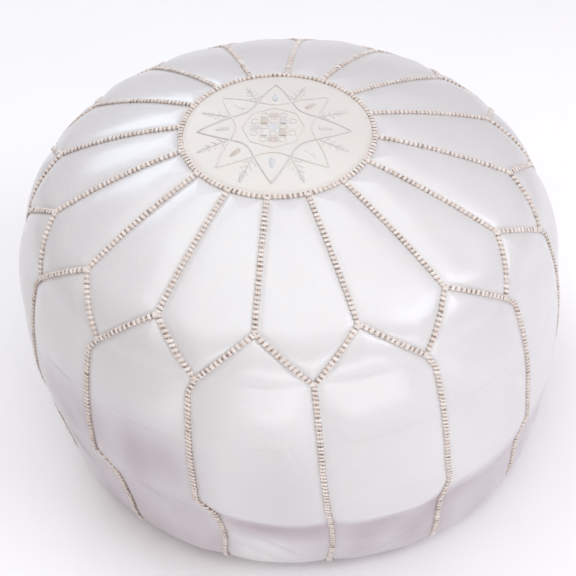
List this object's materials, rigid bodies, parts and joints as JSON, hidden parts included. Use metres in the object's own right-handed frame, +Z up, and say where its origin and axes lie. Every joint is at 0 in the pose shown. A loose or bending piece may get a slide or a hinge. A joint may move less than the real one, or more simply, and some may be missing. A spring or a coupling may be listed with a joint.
{
  "type": "leather pouf",
  "caption": "Round stuffed leather pouf sewn from pointed top petals and side panels with raised thread seams, an embroidered medallion and a zipped base.",
  "frame": {"origin": "centre of the circle that the pouf rests on, on the floor", "axes": "+Z up through the medallion; X along the zip in the base, closed end at +X; -Y is the front"},
  "size_m": [0.5296, 0.5296, 0.341],
  "materials": {
    "panel_leather": "satin",
    "medallion_leather": "satin",
    "base_leather": "satin",
    "seam_thread": "matte",
    "embroidery_thread": "satin",
    "zip_tape": "matte",
    "zip_metal": "satin",
    "zip_thread": "matte",
    "bag_cotton": "matte",
    "stuffing": "matte"
  },
  "bodies": {
    "pouf": {"petal_01": "panel_leather", "petal_02": "panel_leather", "petal_03": "panel_leather", "petal_04": "panel_leather", "petal_05": "panel_leather", "petal_06": "panel_leather", "petal_07": "panel_leather", "petal_08": "panel_leather", "petal_09": "panel_leather", "petal_10": "panel_leather", "petal_11": "panel_leather", "petal_12": "panel_leather", "petal_13": "panel_leather", "petal_14": "panel_leather", "petal_15": "panel_leather", "petal_16": "panel_leather", "side_panel_01": "panel_leather", "side_panel_02": "panel_leather", "side_panel_03": "panel_leather", "side_panel_04": "panel_leather", "side_panel_05": "panel_leather", "side_panel_06": "panel_leather", "side_panel_07": "panel_leather", "side_panel_08": "panel_leather", "side_panel_09": "panel_leather", "side_panel_10": "panel_leather", "side_panel_11": "panel_leather", "side_panel_12": "panel_leather", "side_panel_13": "panel_leather", "side_panel_14": "panel_leather", "side_panel_15": "panel_leather", "side_panel_16": "panel_leather", "medallion": "medallion_leather", "base_half_left": "base_leather", "base_half_right": "base_leather", "medallion_seam_stitches": "seam_thread", "radial_seam_stitches": "seam_thread", "chevron_seam_stitches": "seam_thread", "side_seam_stitches": "seam_thread", "base_seam_stitches": "seam_thread", "medallion_embroidery": "embroidery_thread", "zip_tape_left": "zip_tape", "zip_tape_right": "zip_tape", "zip_teeth_left": "zip_metal", "zip_teeth_right": "zip_metal", "zip_top_stops": "zip_metal", "zip_bottom_stop": "zip_metal", "zip_stitching": "zip_thread", "inner_bag": "bag_cotton", "stuffing": "stuffing"},
    "slider": {"zip_slider": "zip_metal"},
    "pull": {"zip_pull": "zip_metal"}
  },
  "joints": [
    {"name": "zip_slide", "type": "slide", "parent": "pouf", "child": "slider", "axis": [-1, 0, 0], "range_m": [0, 0.274]},
    {"name": "pull_swing", "type": "hinge", "parent": "slider", "child": "pull", "pos_m": [0.138, 0, 0.0087], "axis": [0, -1, 0], "range_deg": [-12, 146]}
  ]
}
